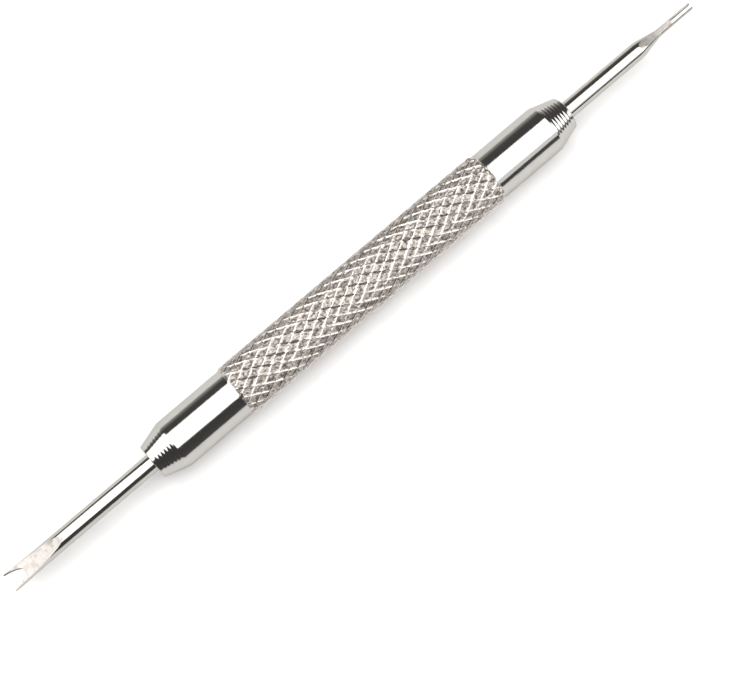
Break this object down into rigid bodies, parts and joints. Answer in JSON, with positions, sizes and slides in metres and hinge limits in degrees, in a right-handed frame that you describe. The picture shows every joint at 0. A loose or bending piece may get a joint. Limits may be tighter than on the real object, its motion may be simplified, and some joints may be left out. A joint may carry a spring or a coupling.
{
  "type": "spring bar tool",
  "caption": "Slim double-ended watch spring bar tool: knurled steel handle with a screw-in wide fork at one end and a screw-in fine slotted blade at the other.",
  "frame": {"origin": "middle of the handle, on the tool's axis, which is also the centre of the whole tool's box", "axes": "+X along the axis towards the fine tip; +Z square to the flats of both tips; +Y across the flats"},
  "size_m": [0.076, 0.0048, 0.0048],
  "materials": {
    "plated_steel": "bright nickel plating over a turned and knurled steel rod",
    "tip_steel": "polished tool steel, with ground faces near the ends of the tips"
  },
  "bodies": {
    "handle": {"handle": "plated_steel"},
    "fork_tip": {"fork_tip": "tip_steel"},
    "fine_tip": {"fine_tip": "tip_steel"}
  },
  "joints": [
    {"name": "fork_tip_removal", "type": "slide", "parent": "handle", "child": "fork_tip", "axis": [-1, 0, 0], "range_m": [0, 0.008]},
    {"name": "fine_tip_removal", "type": "slide", "parent": "handle", "child": "fine_tip", "axis": [1, 0, 0], "range_m": [0, 0.008]}
  ]
}
